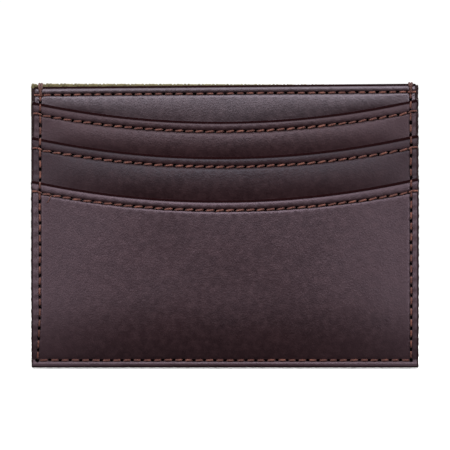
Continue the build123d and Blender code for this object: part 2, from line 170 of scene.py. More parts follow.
def loft(name, rings, material, values=None, areas=()):
    """A closed piece through rings, an array of columns by places by XYZ."""
    columns, ring = rings.shape[:2]
    faces = loft_faces(columns, ring)
    caps = (len(faces) - 2, len(faces) - 1)
    return make_piece(name, rings.reshape(-1, 3), faces, material, caps, values, areas)


def graded(*runs):
    """Heights along runs of (start, end, step), each run's start included, and the last end."""
    parts = [np.linspace(a, b, max(1, round(abs(a - b) / step)), endpoint=False) for a, b, step in runs]
    return np.concatenate([*parts, [runs[-1][1]]])


def dome(part):
    """A rounded hump over 0 to 1."""
    part = np.clip(part, 0, 1)
    return (4 * part * (1 - part)) ** 0.8


def bell(distance, width):
    """A hump, 1 at no distance, that fades over a width."""
    return np.exp(-((distance / width) ** 2))


def rounding(x, half, reach):
    """How far an edge has curved back near the end of a panel."""
    near = np.clip((np.abs(x) - (half - reach)) / reach, 0, 1)
    return 1 - np.sqrt(1 - near**2 * 0.98)


# -------------------- needle holes


def straight_holes(height_of, reach):
    """Holes of a seam across, as X and Z."""
    x = np.linspace(-reach, reach, STITCHES + 1)
    x = x + rng.uniform(-HOLE_STRAY_ALONG, HOLE_STRAY_ALONG, len(x))
    z = height_of(x) + rng.uniform(-HOLE_STRAY_ACROSS, HOLE_STRAY_ACROSS, len(x))
    return np.stack([x, z], axis=1)


def side_x(side, z):
    """X of a side seam. The left-hand one wanders outwards near the bottom corner."""
    if side > 0:
        return np.full_like(z, SEAM_X)
    out = WANDER_OUT * np.clip((WANDER_TOP - z) / WANDER_HEIGHT, 0, 1) ** 1.3
    return -(SEAM_X - LEFT_SEAM_IN) - out


def side_holes(side, low, high, count):
    """Holes of a part of a side seam, as X and Z."""
    z = np.linspace(low, high, count + 1)
    z = z + rng.uniform(-SIDE_STRAY_ALONG, SIDE_STRAY_ALONG, len(z))
    x = side_x(side, z) + rng.uniform(-SIDE_STRAY_ACROSS, SIDE_STRAY_ACROSS, len(z))
    return np.stack([x, z], axis=1)


# -------------------- leather panels


class Panel:
    """A leather panel with a folded top edge: its curves, heights and needle holes.

    lip, seam and below are heights along X: its top edge, the seam under it, and the lip of the
    next panel down or the bottom seam. tilts are how far the lip and the seam climb to the right.
    """

    def __init__(self, name, lip, seam, below, foot, front, half, tilts, swell):
        self.name = name
        self.lip = tilted(lip, tilts[0])
        self.seam = tilted(seam, tilts[1])
        self.below = below
        self.foot = foot
        self.front = front
        self.half = half
        self.swell = swell
        self.ear = 0.0 if name == "base" else EAR
        self.holes = []
        self.side_low = 0.0

    def ease(self, z):
        """How far the panel has curved back towards the bottom seam."""
        if self.name != "lower":
            return np.zeros_like(z)
        part = np.clip((EASE_TOP - z) / EASE_SPAN, 0, 1)
        return (FOOT_FRONT - self.front) * part**EASE_POWER

    def face(self, z):
        """Y of the front face, without its relief."""
        return self.front + self.ease(z)

    def heights(self):
        """Row heights at the middle, from the lip down, finest where a seam is seen."""
        lip = self.lip(0.0) - ROLL
        seam = self.seam(0.0)
        below = self.below(0.0)
        runs = [(lip, seam + 0.5, 0.25), (seam + 0.5, seam - 0.5, 0.1)]
        if self.name == "lower":
            runs += [
                (seam - 0.5, below + 5.0, 0.42),
                (below + 5.0, below + 0.6, 0.3),
                (below + 0.6, below - 0.6, 0.12),
                (below - 0.6, self.foot, 0.22),
            ]
        else:
            runs += [(seam - 0.5, below - 1.0, 0.33), (below - 1.0, self.foot, 2.4)]
        return graded(*runs)

    def row_places(self, x, heights):
        """Heights of the rows at every x, following the lip, the seam and the line below."""
        foot = lambda x: np.full_like(x, self.foot)
        curves = [self.lip, self.seam, self.below, foot]
        z = np.zeros((len(x), len(heights)))
        zero = np.zeros(1)
        for upper, lower in zip(curves, curves[1:]):
            top, low = upper(zero)[0], lower(zero)[0]
            inside = (heights <= top) & (heights >= low)
            part = (top - heights[inside]) / (top - low)
            z[:, inside] = upper(x)[:, None] * (1 - part) + lower(x)[:, None] * part
        return z


def panel_relief(panel, x, z):
    """How far the front stands out of its plane, and 0 to 1 for how deep in a needle hole it is.

    strip runs from 0 at the panel's seam to 1 at the next lip down, and band does from the lip
    to the seam. Holes and puckers fade out behind the next panel down.
    """
    lip, seam, below = panel.lip(x), panel.seam(x), panel.below(x)
    strip = (seam - z) / (seam - below)
    band = (lip - ROLL - z) / (lip - ROLL - seam)
    middle = (side_x(1, z) + side_x(-1, z)) / 2
    inside = (SEAM_X - np.abs(x - middle)) / 7.0
    broad = 1 - np.exp(-(np.clip(inside, 0, None) ** 2))
    seen = np.clip((1.02 - strip) / 0.12, 0, 1)
    part = np.clip(strip, 0, 1)
    swell = 2.44 * part**0.8 * (1 - part**1.8)
    out = panel.swell * swell * broad + MARGIN_DOME * dome(band)
    out -= MOUTH_HOLLOW * bell(z - seam, MOUTH_HOLLOW_WIDTH)
    # Gentle unevenness of stretched leather
    wave = 0.055 * np.sin(x / 7.1 + 0.9) * np.sin(z / 4.3 + 0.4) + 0.04 * np.sin(x / 3.7 - z / 9.0)
    wave += 0.05 * np.sin(x / 15.0 + z / 6.5 + 1.7)
    out += wave * np.clip(strip, 0, 1) ** 0.5 * broad * np.clip(1 - strip, 0, 1) ** 0.6 * 1.6
    pucker = np.cos(2 * pi * x / PITCH + 0.7) * bell(z - seam, 1.1)
    for side in SIDES:
        off = x - side_x(side, z)
        reached = np.clip((z - panel.side_low) / 0.8, 0, 1)
        out -= SIDE_HOLLOW * bell(off, SIDE_HOLLOW_WIDTH) * reached
        out -= SIDE_SLOPE * np.clip(off * side, 0, 2) * reached
        pucker += np.cos(2 * pi * z / PITCH + side) * bell(off - side * 0.9, 1.0) * 1.3 * reached
    if panel.name == "lower":
        out -= BOTTOM_HOLLOW * bell(z - BOTTOM_SEAM, BOTTOM_HOLLOW_WIDTH)
        under = np.clip((BOTTOM_SEAM - z) / 0.5, 0, 1)
        out += MARGIN_DOME * dome((BOTTOM_SEAM - z) / 1.9) * under
        pucker += np.cos(2 * pi * x / PITCH + 2.0) * bell(z - BOTTOM_SEAM + 0.7, 0.8) * 1.5
    out += PUCKER * pucker * seen
    hole = np.zeros_like(z)
    for place_x, place_z, length, width in panel.holes:
        near = np.exp(-(((x - place_x) / length) ** 4) - ((z - place_z) / width) ** 4)
        hole = np.maximum(hole, near)
    out -= HOLE_DEPTH * hole * seen
    out -= END_DROP * rounding(x, panel.half, END_REACH)
    return out, hole


def faces_over(values, limit):
    """Numbers of a loft's side faces whose corners' mean value is over a limit."""
    onward = np.roll(values, -1, axis=1)
    mean = (values[:-1] + values[1:] + onward[:-1] + onward[1:]) / 4
    return np.flatnonzero(mean.ravel() > limit).tolist()


def leather_piece(panel, material):
    """A panel as rings: up its front, over the lip, down and up the hem, down its back."""
    x = np.linspace(-panel.half, panel.half, round(2 * panel.half / COLUMN) + 1)
    grid_x = x[:, None]
    front_z = panel.row_places(x, panel.heights())[:, ::-1]
    relief, hole = panel_relief(panel, grid_x, front_z)
    front_y = panel.face(front_z) - relief
    lip = panel.lip(x)[:, None]
    ends = rounding(grid_x, panel.half, END_REACH)

    turn = np.linspace(0, pi, ROLL_PLACES)[None, 1:]
    radius = ROLL * (1 - 0.25 * ends)
    roll_y = panel.front + ROLL - radius * np.cos(turn)
    roll_z = lip - ROLL + radius * np.sin(turn)

    def straight(depth, start, end, count):
        """Y and Z of a run at a depth behind the front's plane."""
        share = np.linspace(0, 1, count)[None, :]
        z = start * (1 - share) + end * share
        return panel.front + depth + panel.ease(z), z

    hem_low = lip - HEM_LENGTH
    foot = np.full_like(lip, panel.foot)
    hem_y, hem_z = straight(FOLD, lip - HEM_TOP, hem_low, 4)
    inner_y, inner_z = straight(FOLD - HEM, hem_low, lip - CHANNEL_TOP, 4)
    back_y, back_z = straight(THICK, lip - CHANNEL_TOP, foot, 18)
    y = np.concatenate([front_y, roll_y, hem_y, inner_y, back_y], axis=1)
    z = np.concatenate([front_z, roll_z, hem_z, inner_z, back_z], axis=1)
    near_end = np.clip((np.abs(grid_x) - panel.half + EAR_REACH) / EAR_REACH, 0, 1)
    ear = panel.ear * bell(z - lip + EAR_HEIGHT, EAR_HEIGHT) * near_end
    rings = np.stack([grid_x + np.sign(grid_x) * ear, y, z], axis=-1)

    dark = np.zeros_like(y)
    dark[:, : hole.shape[1]] = hole
    painted = np.zeros_like(y)
    rows = front_z.shape[1]
    painted[:, rows - 1] = 0.7
    painted[:, rows : rows + roll_y.shape[1]] = 1
    side = np.clip((np.abs(grid_x) - (panel.half - DYED_SIDE)) / DYED_SIDE, 0, 1)
    painted = np.maximum(painted, side)
    if panel.name == "lower":
        low = np.clip((panel.foot + DYED_FOOT - z) / DYED_FOOT, 0, 1)
        painted = np.maximum(painted, low)
    values = {"hole": dark, "painted": painted}
    side_faces = (y.shape[0] - 1) * y.shape[1]
    caps = [side_faces, side_faces + 1]
    # Faces of the dyed cut edges get the dye material, and faces in the needle holes a material painted with
    # their shade.
    areas = [
        (DYED_EDGE, faces_over(painted, DYED_LIMIT) + caps),
        (NEEDLE_HOLE_SHADE, faces_over(dark, HOLE_LIMIT)),
    ]
    return loft(f"{panel.name}_leather", rings, material, values, areas)


# -------------------- thread


PLY = 0.27  # radius of a stitch's thread
STRAND_SIDES = 6
STRAND_OFF, STRAND_RADIUS = 0.46, 0.56  # of a strand in a thread, as shares of its radius
STITCH_TURNS = 1.6  # twists of the strands in a stitch
STITCH_POINTS = 17
ACROSS = np.array([0.31, -0.94, 0.17])  # no thread runs along this
FORWARDS = np.array([0.0, -1.0, 0.0])
BACKWARDS = np.array([0.0, 1.0, 0.0])


def across_path(path):
    """Two directions square to a path and to each other, at each of its points."""
    along = np.gradient(path, axis=0)
    along /= np.linalg.norm(along, axis=1)[:, None]
    first = ACROSS - (along @ ACROSS)[:, None] * along
    first /= np.linalg.norm(first, axis=1)[:, None]
    return first, np.cross(along, first)


def tube(path, radius):
    """Vertices and faces of a round tube through a path, closed at both ends."""
    first, second = across_path(path)
    turn = np.linspace(0, 2 * pi, STRAND_SIDES, endpoint=False)[None, :, None]
    ring = np.cos(turn) * first[:, None] + np.sin(turn) * second[:, None]
    vertices = path[:, None] + ring * np.asarray(radius).reshape(-1, 1, 1)
    faces = loft_faces(len(path), STRAND_SIDES)
    return vertices.reshape(-1, 3), [face[::-1] for face in faces]


def twisted(path, radius, turns, start):
    """Three strands twisted round a path: a list of tubes."""
    first, second = across_path(path)
    part = np.linspace(0, 1, len(path))
    tubes = []
    for strand in range(3):
        turn = (2 * pi * (turns * part + start + strand / 3))[:, None]
        centre = path + STRAND_OFF * radius * (np.cos(turn) * first + np.sin(turn) * second)
        tubes.append(tube(centre, STRAND_RADIUS * radius))
    return tubes


def stitch_path(start, end, out, lift, sink, reach):
    """A path that comes up from one needle hole and goes down the next."""
    part = np.linspace(-1, 1, STITCH_POINTS)[:, None]
    line = (start + end) / 2 + (end - start) / 2 * part * reach
    height = lift - (lift + sink) * np.abs(part) ** 6
    return line + out * height


def join(tubes):
    """Tubes as the vertices and faces of one mesh."""
    vertices, faces, count = [], [], 0
    for points, sides in tubes:
        vertices.append(points)
        faces += [[number + count for number in face] for face in sides]
        count += len(points)
    return np.concatenate(vertices), faces


def thread_piece(name, tubes, material, node):
    """One piece from the tubes of a seam, which stands for a CAD node."""
    piece = make_piece(name, *join(tubes), material)
    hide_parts(node)


def sew(holes, out, lift, sink, radius, slant=0.0, reach=0.84):
    """Stitches between neighbouring holes.

    A stitch's second end is slant higher than the seam and its first end as much lower, or to
    the right and the left of an upright seam.
    """
    tubes = []
    for start, end in zip(holes, holes[1:]):
        along = (end - start) / np.linalg.norm(end - start)
        across = np.cross(out, along)
        if across[2] < 0 or abs(across[2]) < 0.3 and across[0] < 0:
            across = -across
        shift = across * (slant + rng.uniform(-0.03, 0.03))
        raised = lift + rng.uniform(-0.02, 0.02)
        path = stitch_path(start - shift, end + shift, out, raised, sink, reach)
        tubes += twisted(path, radius * rng.uniform(0.93, 1.06), STITCH_TURNS, rng.uniform())
    return tubes


def on_face(panel, holes):
    """Holes as points on a panel's front."""
    return np.stack([holes[:, 0], panel.face(holes[:, 1]), holes[:, 1]], axis=1)


# -------------------- materials


WAVE_SCALE = 0.314  # length of one band of a wave texture at a scale of 1


class Finish:
    """A material with helpers for its nodes; coordinates are the object's own, in metres."""

    def __init__(self, name):
        self.material = bpy.data.materials.new(name)
        self.material.use_nodes = True
        self.tree = self.material.node_tree
        self.shader = self.tree.nodes["Principled BSDF"]
        self.place = self.add("ShaderNodeTexCoord").outputs["Object"]

    def put(self, socket, value):
        if isinstance(value, bpy.types.NodeSocket):
            self.tree.links.new(value, socket)
        else:
            socket.default_value = value

    def add(self, kind, inputs=None, **settings):
        node = self.tree.nodes.new(kind)
        for key, value in settings.items():
            setattr(node, key, value)
        for key, value in (inputs or {}).items():
            self.put(node.inputs[key], value)
        return node

    def noise(self, size, detail=3.0, rough=0.55, stretch=(1, 1, 1)):
        """Noise with features of a size in millimetres."""
        place = self.add("ShaderNodeVectorMath", {0: self.place, 1: stretch}, operation="MULTIPLY")
        inputs = {"Vector": place.outputs[0], "Scale": 1 / (size * MM), "Detail": detail, "Roughness": rough}
        return self.add("ShaderNodeTexNoise", inputs).outputs["Fac"]

    def cells(self, size):
        """Rounded cells of a size in millimetres."""
        inputs = {"Vector": self.place, "Scale": 1 / (size * MM)}
        return self.add("ShaderNodeTexVoronoi", inputs, feature="SMOOTH_F1").outputs["Distance"]

    def wave(self, axis, pitch, distortion):
        """Bands across an axis, a pitch in millimetres apart."""
        inputs = {"Vector": self.place, "Scale": WAVE_SCALE / (pitch * MM), "Distortion": distortion}
        inputs["Detail Scale"] = 2.0
        return self.add("ShaderNodeTexWave", inputs, bands_direction=axis).outputs["Fac"]

    def value(self, name):
        """A point attribute of the mesh."""
        return self.add("ShaderNodeAttribute", attribute_name=name).outputs["Fac"]

    def math(self, operation, first, second=0.5):
        return self.add("ShaderNodeMath", {0: first, 1: second}, operation=operation).outputs[0]

    def spread(self, value, low, high, to_low, to_high):
        """A value's range from low to high, mapped to another range and clamped to it."""
        inputs = {"Value": value, "From Min": low, "From Max": high}
        inputs |= {"To Min": to_low, "To Max": to_high}
        return self.add("ShaderNodeMapRange", inputs).outputs["Result"]

    def blend(self, share, first, second):
        node = self.add("ShaderNodeMix", data_type="RGBA")
        self.put(node.inputs[0], share)
        self.put(node.inputs[6], first)
        self.put(node.inputs[7], second)
        return node.outputs[2]

    def layer(self, value, low, high, most, under, over):
        """One colour over another, from none of it where a value is low to most where it is high."""
        return self.blend(self.spread(value, low, high, 0, most), under, over)

    def bump(self, height, depth, strength, normal=None):
        """Bump of a depth in millimetres, on top of another one if there is one."""
        inputs = {"Height": height, "Distance": depth * MM, "Strength": strength}
        if normal is not None:
            inputs["Normal"] = normal
        return self.add("ShaderNodeBump", inputs).outputs["Normal"]

    def set(self, **sockets):
        """Sets sockets of the shader, named with _ for a space."""
        for key, value in sockets.items():
            self.put(self.shader.inputs[key.replace("_", " ")], value)


def rgb(red, green, blue):
    return (red, green, blue, 1.0)


def leather_finish(name, gloss, tint, middle_rough, end_rough, end_sheen):
    """Each panel comes from its own part of the hide, so its gloss differs a little.

    The middle is rubbed smoother by use than the ends, and the last argument is how much paler the ends are
    painted: a painted sheen standing in for the shine of the ends.
    """
    made = Finish(name)
    clouds = made.noise(9.0, 4.0, 0.6, (0.55, 1, 1))
    mottle = made.noise(1.6, 4.0, 0.62)
    specks = made.noise(0.5, 2.0, 0.7)
    deep, brown = rgb(0.0155, 0.0070, 0.0082), rgb(0.024, 0.0107, 0.0125)
    colour = made.layer(clouds, 0.30, 0.70, 1, deep, brown)
    colour = made.layer(mottle, 0.42, 0.75, 0.5, colour, rgb(0.044, 0.021, 0.023))
    colour = made.layer(specks, 0.66, 0.8, 0.22, colour, rgb(0.12, 0.075, 0.08))
    place = made.add("ShaderNodeSeparateXYZ", {0: made.place}).outputs["X"]
    outwards = made.math("ABSOLUTE", made.math("MULTIPLY", place, 1 / (PANEL_HALF * MM)))
    # Painted sheen: the colour gets paler towards the ends, standing in for their shine.
    colour = made.layer(outwards, 0.5, 0.98, end_sheen, colour, rgb(0.052, 0.031, 0.037))
    painted = made.value("painted")
    colour = made.blend(painted, colour, rgb(0.0085, 0.0018, 0.0022))
    # Painted shade: the needle holes are painted near black.
    hole = made.value("hole")
    colour = made.layer(hole, 0.15, 0.6, 1, colour, rgb(0.0012, 0.0006, 0.0006))
    rough = made.spread(outwards, 0.25, 0.97, middle_rough, end_rough)
    rough = made.math("ADD", rough, made.spread(mottle, 0.3, 0.72, -0.05, 0.05))
    rough = made.math("ADD", rough, made.math("MULTIPLY", made.math("MAXIMUM", painted, hole), 0.3))
    grain = made.bump(made.cells(0.42), 0.045, 0.75)
    grain = made.bump(made.noise(0.22, 2.0, 0.6), 0.020, 0.5, grain)
    creases = made.bump(made.noise(3.2, 4.0, 0.6, (1, 1, 0.6)), 0.05, 0.7, grain)
    made.set(Base_Color=colour, Roughness=rough, Normal=creases, Specular_IOR_Level=gloss)
    made.set(Specular_Tint=tint)
    return made.material


def matt_finish(name, dark, pale, specular):
    """Leather that barely shines, for dyed cut edges and for the painted shade inside needle holes."""
    made = Finish(name)
    fibre = made.noise(0.3, 3.0, 0.65)
    colour = made.layer(fibre, 0.35, 0.7, 1, dark, pale)
    made.set(Base_Color=colour, Roughness=made.spread(fibre, 0.3, 0.7, 0.62, 0.8))
    made.set(Normal=made.bump(fibre, 0.03, 0.6), Specular_IOR_Level=specular)
    return made.material


def cloth_finish():
    made = Finish("wool_cloth")
    yarn = made.value("yarn")
    crown = made.value("crown")
    fibre = made.noise(0.28, 4.0, 0.7)
    fleck = made.noise(0.9, 2.0, 0.6)
    colour = made.blend(yarn, rgb(0.150, 0.126, 0.056), rgb(0.070, 0.057, 0.023))
    # Painted shade: where the yarns' crowns are low, between the yarns and where the seams pull the cloth
    # in, the cloth is painted darker.
    colour = made.blend(made.spread(crown, 0.15, 0.75, 0.95, 0), colour, rgb(0.017, 0.014, 0.007))
    colour = made.layer(fibre, 0.42, 0.75, 0.7, colour, rgb(0.17, 0.145, 0.078))
    colour = made.layer(fleck, 0.66, 0.76, 0.8, colour, rgb(0.22, 0.155, 0.12))
    colour = made.layer(fleck, 0.36, 0.26, 0.7, colour, rgb(0.030, 0.022, 0.012))
    fuzz = made.bump(fibre, 0.09, 0.9)
    fuzz = made.bump(made.noise(0.12, 2.0, 0.7, (1, 1, 2.5)), 0.05, 0.8, fuzz)
    made.set(Base_Color=colour, Roughness=made.spread(fibre, 0.3, 0.7, 0.84, 0.97), Normal=fuzz)
    made.set(Sheen_Weight=0.35, Sheen_Roughness=0.55, Sheen_Tint=rgb(0.80, 0.76, 0.60))
    made.set(Specular_IOR_Level=0.2)
    return made.material


def thread_finish(name, dark, mid, pale):
    made = Finish(name)
    fibre = made.noise(0.16, 3.0, 0.65)
    along = made.noise(1.9, 2.0, 0.5)
    colour = made.layer(fibre, 0.36, 0.66, 1, dark, mid)
    colour = made.layer(along, 0.48, 0.68, 0.8, colour, pale)
    made.set(Base_Color=colour, Roughness=made.spread(fibre, 0.3, 0.7, 0.48, 0.72))
    made.set(Normal=made.bump(fibre, 0.035, 0.8), Specular_IOR_Level=0.35)
    made.set(Sheen_Weight=0.15, Sheen_Roughness=0.5)
    return made.material


def paint_finish():
    made = Finish("edge_paint")
    smear = made.noise(1.1, 4.0, 0.6)
    fine = made.noise(0.3, 2.0, 0.6)
    thick, thin = rgb(0.010, 0.0024, 0.0028), rgb(0.026, 0.008, 0.009)
    colour = made.layer(smear, 0.35, 0.7, 1, thick, thin)
    normal = made.bump(fine, 0.02, 0.6, made.bump(smear, 0.05, 0.7))
    made.set(Base_Color=colour, Roughness=made.spread(fine, 0.3, 0.7, 0.42, 0.62), Normal=normal)
    made.set(Specular_IOR_Level=0.22)
    return made.material


def weave_finish(name, dark, pale, pitch, rough):
    """A plain weave of fine yarns across and up."""
    made = Finish(name)
    across = made.wave("X", pitch, 0.4)
    upwards = made.wave("Z", pitch, 0.4)
    weave = made.math("MULTIPLY", across, upwards)
    slub = made.noise(1.4, 3.0, 0.6, (1, 1, 3))
    colour = made.layer(weave, 0.0, 0.7, 1, dark, pale)
    colour = made.layer(slub, 0.5, 0.75, 0.5, colour, dark)
    normal = made.bump(slub, 0.03, 0.5, made.bump(weave, 0.04, 0.8))
    made.set(Base_Color=colour, Roughness=made.spread(slub, 0.3, 0.7, rough - 0.1, rough), Normal=normal)
    return made.material


def board_finish():
    made = Finish("board")
    pulp = made.noise(0.7, 5.0, 0.7)
    strands = made.noise(0.25, 3.0, 0.7, (1, 1, 5))
    dark, pale = rgb(0.19, 0.13, 0.08), rgb(0.34, 0.26, 0.18)
    colour = made.layer(pulp, 0.35, 0.7, 1, dark, pale)
    colour = made.layer(strands, 0.6, 0.75, 0.6, colour, rgb(0.09, 0.06, 0.04))
    normal = made.bump(pulp, 0.04, 0.7, made.bump(strands, 0.02, 0.6))
    made.set(Base_Color=colour, Roughness=made.spread(pulp, 0.3, 0.7, 0.8, 0.95), Normal=normal)
    return made.material


def floor_finish():
    made = Finish("studio_floor")
    mottle = made.noise(60.0, 3.0, 0.5)
    grey, white = rgb(0.90, 0.90, 0.90), rgb(0.93, 0.93, 0.93)
    colour = made.layer(mottle, 0.3, 0.7, 1, grey, white)
    made.set(Base_Color=colour, Roughness=0.85, Specular_IOR_Level=0.0)
    return made.material


# Gloss, tint of the gloss, roughness in the middle and at the ends, and painted sheen at the ends
LEATHERS = {
    "base": leather_finish("base_leather", 0.96, rgb(0.96, 0.86, 1.0), 0.39, 0.39, 0.3),
    "upper": leather_finish("upper_leather", 0.36, rgb(1.0, 0.80, 0.92), 0.31, 0.50, 0.55),
    "middle": leather_finish("middle_leather", 0.24, rgb(0.80, 0.84, 1.0), 0.31, 0.50, 0.5),
    "lower": leather_finish("lower_leather", 0.66, rgb(1.0, 0.78, 0.94), 0.32, 0.46, 0.3),
}
DYES = rgb(0.0065, 0.0012, 0.0016), rgb(0.012, 0.0028, 0.0034)
# Near-black tones of the painted shade inside the needle holes
PAINTED_HOLE_SHADE = rgb(0.0010, 0.0005, 0.0005), rgb(0.0022, 0.0010, 0.0010)
THREAD_SHADES = rgb(0.062, 0.016, 0.011), rgb(0.140, 0.042, 0.029), rgb(0.215, 0.077, 0.053)
TACK_SHADES = rgb(0.045, 0.013, 0.010), rgb(0.095, 0.030, 0.023), rgb(0.15, 0.058, 0.044)
DYED_EDGE = matt_finish("dyed_edge", *DYES, 0.02)
NEEDLE_HOLE_SHADE = matt_finish("needle_hole", *PAINTED_HOLE_SHADE, 0.0)
CLOTH = cloth_finish()
THREAD = thread_finish("thread", *THREAD_SHADES)
TACK = thread_finish("tack_thread", *TACK_SHADES)
PAINT = paint_finish()
LINING = weave_finish("lining", rgb(0.030, 0.020, 0.015), rgb(0.085, 0.062, 0.048), 0.25, 0.85)
TAPE = weave_finish("tape", rgb(0.11, 0.09, 0.07), rgb(0.32, 0.28, 0.23), 0.35, 0.9)
BOARD = board_finish()


# -------------------- the panels


def mouth(pocket):
    """A pocket's lip and seam curves, and the lowest corner of its CAD leather."""
    low, high = corners(f"{POCKETS[pocket]}_pocket_leather")
    middle = high[2] - MOUTH_SAG
    lip = lambda x: arc(x, middle + LIP_RISE, MOUTH_SAG)
    seam = lambda x: arc(x, middle - SEAM_DROP, SEAM_SAG)
    return lip, seam, low


# How far the lip and the seam of each panel climb from the middle to the right-hand edge
TOP_TILTS = (0.42, 0.42)
TILTS = [(0.34, 0.34), (0.30, 0.12), (0.36, 0.08)]
TOP_DROP = 0.05  # the top edge below the CAD's
PANEL_EDGES = [PANEL_HALF - inset for inset in (0.42, 0.22, 0.08, 0.0)]
BASE_SWELL, SWELLS = 0.30, (0.52, 0.60, 0.45)
MOUTH_CURVES = [mouth(pocket) for pocket in range(3)]


def build_panels():
    level = lambda height: lambda x: np.full_like(np.asarray(x, dtype=float), height)
    top = BASE_HIGH[2] - TOP_DROP
    next_lips = [tilted(curves[0], tilts[0]) for curves, tilts in zip(MOUTH_CURVES, TILTS)]
    curves = (level(top), level(top - TOP_SEAM_DROP), next_lips[0])
    place = (BASE_LOW[2], BASE_LOW[1], PANEL_EDGES[0])
    panels = [Panel("base", *curves, *place, TOP_TILTS, BASE_SWELL)]
    for pocket, name in enumerate(POCKETS):
        lip, seam, low = MOUTH_CURVES[pocket]
        below = next_lips[pocket + 1] if pocket < 2 else level(BOTTOM_SEAM)
        place = (low[2], low[1], PANEL_EDGES[pocket + 1])
        panels.append(Panel(name, lip, seam, below, *place, TILTS[pocket], SWELLS[pocket]))
    return panels


PANELS = build_panels()
BASE, UPPER, MIDDLE, LOWER = PANELS
LONG_HOLE = (0.58, 0.29)  # half sizes along and across its seam
MOUTH_HOLE = (0.46, 0.33)


def pierce(panel, holes, size):
    """Adds needle holes to a panel. size is half their width and half their height."""
    panel.holes += [(x, z, *size) for x, z in holes]


ROWS = {}
for panel in PANELS:
    ROWS[panel.name] = straight_holes(panel.seam, SEAM_X - CROSSING)
    pierce(panel, ROWS[panel.name], LONG_HOLE if panel is BASE else MOUTH_HOLE)

BOTTOM_ROW = straight_holes(lambda x: np.full_like(x, BOTTOM_SEAM), SEAM_X)
BOTTOM_ROW[0, 0] = side_x(-1, np.array([BOTTOM_SEAM]))[0]
pierce(LOWER, BOTTOM_ROW, LONG_HOLE)

# Side seams: each panel's holes run from just over the mouth below it to just over its own
OVER_MOUTH = 0.35
LAST_HOLE_DROP = 2.6  # the top hole below the top edge
SIDE_ROWS = {}
for side in SIDES:
    seam_at = np.array([side * SEAM_X])
    top, *mouths = [panel.lip(seam_at)[0] for panel in PANELS]
    upper, middle, lower = [height + OVER_MOUTH for height in mouths]
    levels = [
        (LOWER, BOTTOM_SEAM, lower, 17),
        (MIDDLE, lower, middle, 4),
        (UPPER, middle, upper, 3),
        (BASE, upper, top - LAST_HOLE_DROP, 1),
    ]
    for panel, low, high, count in levels:
        panel.side_low = low
        row = side_holes(side, low, high, count)
        SIDE_ROWS[side, panel.name] = row
        pierce(panel, row, LONG_HOLE[::-1])
# One stray hole at the right of the upper mouth's seam
UPPER.holes.append((SEAM_X + 0.8, UPPER.seam(np.array([SEAM_X]))[0] + 0.1, 0.24, 0.28))


NODES = ["front_base_leather"] + [f"{name}_pocket_leather" for name in POCKETS]
for panel, node in zip(PANELS, NODES):
    piece = leather_piece(panel, LEATHERS[panel.name])
    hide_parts(node)
    low, high = corners(node)


# -------------------- seams on the front

SIDE_SEAM_REACH = 0.60
BOTTOM_SEAM_REACH = 0.62
# Steps of the thread's loose end from its needle hole, at the left of the lower mouth
LOOSE_END = np.array([
    [0, 0.3, 0],
    [-0.25, -0.25, -0.35],
    [-0.6, -0.35, -0.9],
    [-0.85, -0.3, -1.5],
    [-1.3, -0.2, -2.0],
])
LOOSE_POINTS = 17


def loose_end(panel, row):
    """A frayed end of thread that hangs from the second hole of a row."""
    start = on_face(panel, row[1:2])[0] + FORWARDS * 0.1
    share = np.linspace(0, 4, LOOSE_POINTS)
    path = np.stack([np.interp(share, range(5), LOOSE_END[:, axis]) for axis in range(3)], axis=1)
    smooth = np.array([0.25, 0.5, 0.25])
    for axis in range(3):
        path[1:-1, axis] = np.convolve(path[:, axis], smooth, "valid")
    return tube(start + path, np.linspace(0.13, 0.07, LOOSE_POINTS))


# Each seam's panel, the node it replaces, and its stitches' lift, slant and reach between holes
seams = {
    "top_seam": (BASE, "top_seam_thread", -0.04, 0.03, 0.60),
    "upper_mouth_seam": (UPPER, "upper_mouth_thread", 0.08, 0.19, 0.70),
    "middle_mouth_seam": (MIDDLE, "middle_mouth_thread", 0.10, 0.22, 0.72),
    "lower_mouth_seam": (LOWER, "lower_mouth_thread", 0.08, 0.18, 0.72),
}
for name, (panel, node, lift, slant, reach) in seams.items():
    row = ROWS[panel.name]
    holes = on_face(panel, row)
    tubes = sew(holes, FORWARDS, lift, 0.7, PLY, slant, reach)
    for end, side in ((holes[0], -1), (holes[-1], 1)):
        # The seam goes on over the side seam to the panel's edge
        edge_z = panel.seam(np.array([side * PANEL_HALF]))[0]
        tail = np.array([side * (panel.half - 0.05), end[1], edge_z])
        inner = np.array([side * (SEAM_X + CROSSING * 0.4), end[1], tail[2]])
        share = np.linspace(0, 1, 10)[:, None]
        path = inner * (1 - share) + tail * share + FORWARDS * (0.12 - 0.75 * (1 - share) ** 6)
        tubes += twisted(path, PLY, 1.0, 0.2)
        cross = np.stack([end, inner])
        tubes += sew(cross, FORWARDS, 0.05, 0.5, PLY)
    if panel is LOWER:
        tubes.append(loose_end(panel, row))
    thread_piece(name, tubes, THREAD, node)

tubes = sew(on_face(LOWER, BOTTOM_ROW), FORWARDS, -0.02, 0.7, PLY, 0.02, BOTTOM_SEAM_REACH)
panel_named = {panel.name: panel for panel in PANELS}
for (side, name), row in SIDE_ROWS.items():
    holes = on_face(panel_named[name], row)
    tubes += sew(holes, FORWARDS, -0.02, 0.7, PLY, 0.05, SIDE_SEAM_REACH)
thread_piece("perimeter_front_seam", tubes, THREAD, "perimeter_front_thread")


# -------------------- cloth back

YARN = 0.93
CLOTH_STEP = YARN / 3
CLOTH_THICK = 1.0
CLOTH_HEM = 0.5  # thickness of the cloth turned in at the top
CLOTH_ROLL = (CLOTH_THICK + CLOTH_HEM) / 2
CLOTH_FOLD = 66.0  # height of the end of the turned-in cloth
CLOTH_TILT = 0.16  # how far the top falls from the middle to the right-hand edge
HERRINGBONE = 14  # yarns in a stripe
PINCH = 0.30  # how far the seams pull the cloth in
CLOTH_SHIFT = 0.2  # the cloth shows past the leather on the left only
BACK_RELIEF = 0.15  # height of the yarns on the back
FOLD_RELIEF, FOLD_SINK = 0.46, 0.34  # height of the yarns along the top, and how deep it lies
FRAY = 0.35  # width of the uneven side edges


